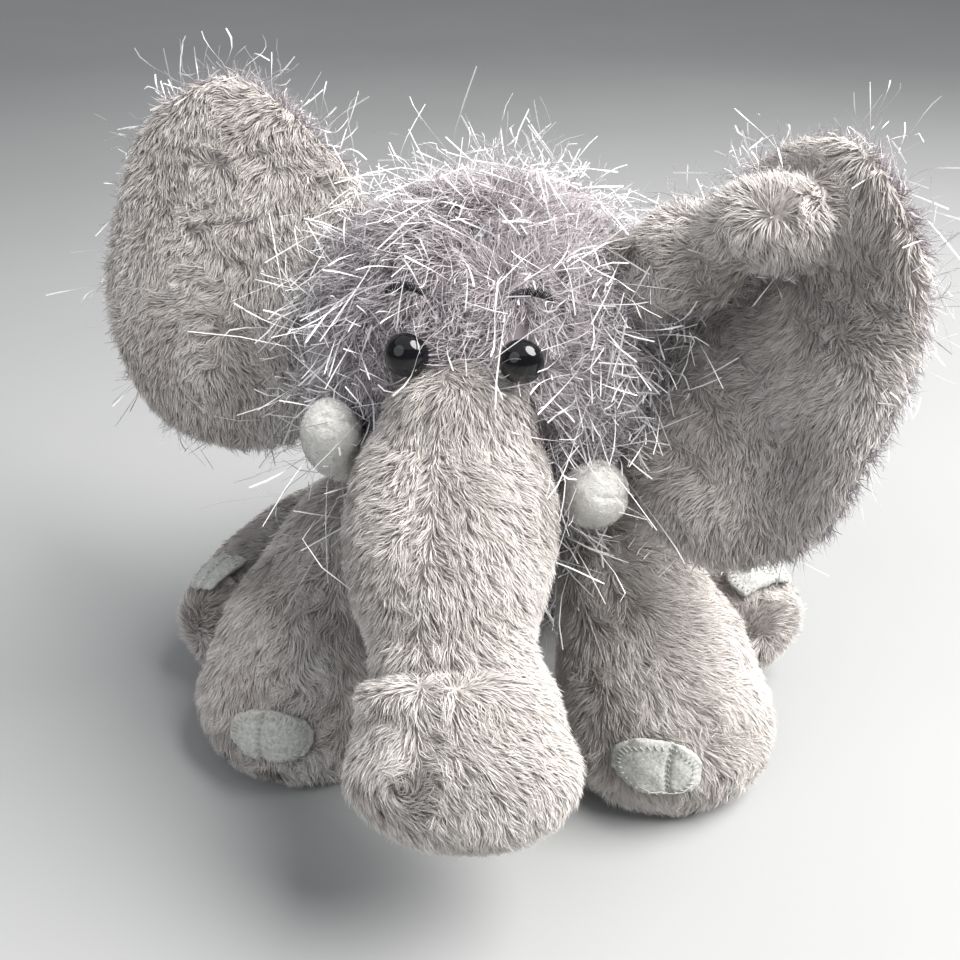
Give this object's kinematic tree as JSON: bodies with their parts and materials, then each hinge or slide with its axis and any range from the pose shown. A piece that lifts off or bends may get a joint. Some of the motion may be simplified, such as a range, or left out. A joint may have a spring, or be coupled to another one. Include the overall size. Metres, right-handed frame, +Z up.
{
  "type": "stuffed elephant",
  "caption": "Small plush elephant sitting upright, with a drooping trunk, big ears, felt toenails and tusks, and a long-fringed head and body on soft sewn joints.",
  "frame": {"origin": "middle of the whole outline, on the surface that it sits on", "axes": "+Z up; the elephant faces -Y, and its own left side is +X"},
  "size_m": [0.1756, 0.1846, 0.1491],
  "materials": {
    "plush": "long-pile grey plush, pile about 3.5 mm",
    "fringe": "mauve-grey knit set with long silvery filaments",
    "felt": "pale grey-green brushed felt",
    "velboa": "off-white short-nap velboa",
    "eye": "polished black",
    "thread": "black satin embroidery thread",
    "fibre": "loose white polyester fibre",
    "pouch": "plain woven pouch packed with plastic pellets",
    "washer": "translucent white nylon"
  },
  "bodies": {
    "torso": {"body_cover": "fringe", "body_filling": "fibre", "seat_pellet_pouch": "pouch"},
    "head": {"head_cover": "fringe", "head_filling": "fibre", "tusk_left": "velboa", "tusk_right": "velboa", "eye_left": "eye", "eye_right": "eye", "eye_washer_left": "washer", "eye_washer_right": "washer", "brow_left": "thread", "brow_right": "thread"},
    "trunk": {"trunk_cover": "plush", "trunk_filling": "fibre"},
    "trunk_tip": {"trunk_tip_cover": "plush", "trunk_tip_filling": "fibre"},
    "ear_left": {"ear_front_left": "plush", "ear_back_left": "fringe"},
    "ear_right": {"ear_front_right": "plush", "ear_back_right": "fringe"},
    "tail": {"tail_cover": "fringe", "tail_tuft": "fringe"},
    "foreleg_left": {"foreleg_cover_left": "plush", "foreleg_filling_left": "fibre", "foreleg_sole_left": "plush", "foreleg_toenails_left": "felt"},
    "foreleg_right": {"foreleg_cover_right": "plush", "foreleg_filling_right": "fibre", "foreleg_sole_right": "plush", "foreleg_toenails_right": "felt"},
    "hindleg_left": {"hindleg_cover_left": "plush", "hindleg_filling_left": "fibre", "hindleg_sole_left": "plush", "hindleg_toenails_left": "felt"},
    "hindleg_right": {"hindleg_cover_right": "plush", "hindleg_filling_right": "fibre", "hindleg_sole_right": "plush", "hindleg_toenails_right": "felt"}
  },
  "joints": [
    {"name": "head_nod", "type": "hinge", "parent": "torso", "child": "head", "pos_m": [0.00637, 0.00965, 0.072], "axis": [-1, 0, 0], "range_deg": [-1, 10], "stiffness_Nm_per_rad": 0.6},
    {"name": "trunk_lift", "type": "hinge", "parent": "head", "child": "trunk", "pos_m": [0.00637, -0.03435, 0.093], "axis": [-1, 0, 0], "range_deg": [-3, 30], "stiffness_Nm_per_rad": 0.12},
    {"name": "trunk_curl", "type": "hinge", "parent": "trunk", "child": "trunk_tip", "pos_m": [0.00837, -0.06635, 0.053], "axis": [-1, 0, 0], "range_deg": [-6, 35], "stiffness_Nm_per_rad": 0.08},
    {"name": "ear_right_flap", "type": "hinge", "parent": "head", "child": "ear_right", "pos_m": [-0.03163, 0.00265, 0.097], "axis": [0.328, 0.1644, 0.9303], "range_deg": [-12, 30], "stiffness_Nm_per_rad": 0.02},
    {"name": "ear_left_flap", "type": "hinge", "parent": "head", "child": "ear_left", "pos_m": [0.04487, -0.00535, 0.1], "axis": [-0.2486, -0.3358, -0.9085], "range_deg": [-5, 6], "stiffness_Nm_per_rad": 0.02},
    {"name": "foreleg_left_swing", "type": "hinge", "parent": "torso", "child": "foreleg_left", "pos_m": [0.03637, -0.00835, 0.054], "axis": [-1, 0, 0], "range_deg": [0, 10], "stiffness_Nm_per_rad": 1.5},
    {"name": "foreleg_right_swing", "type": "hinge", "parent": "torso", "child": "foreleg_right", "pos_m": [-0.02363, -0.00835, 0.054], "axis": [-1, 0, 0], "range_deg": [0, 10], "stiffness_Nm_per_rad": 1.5},
    {"name": "hindleg_left_lift", "type": "hinge", "parent": "torso", "child": "hindleg_left", "pos_m": [0.04237, 0.04265, 0.022], "axis": [-1, 0, 0], "range_deg": [0, 22], "stiffness_Nm_per_rad": 0.8},
    {"name": "hindleg_right_lift", "type": "hinge", "parent": "torso", "child": "hindleg_right", "pos_m": [-0.02963, 0.04265, 0.022], "axis": [-1, 0, 0], "range_deg": [0, 10], "stiffness_Nm_per_rad": 0.8},
    {"name": "tail_swing", "type": "hinge", "parent": "torso", "child": "tail", "pos_m": [0.00637, 0.07765, 0.029], "axis": [0, 0, 1], "range_deg": [-25, 25], "stiffness_Nm_per_rad": 0.01}
  ]
}
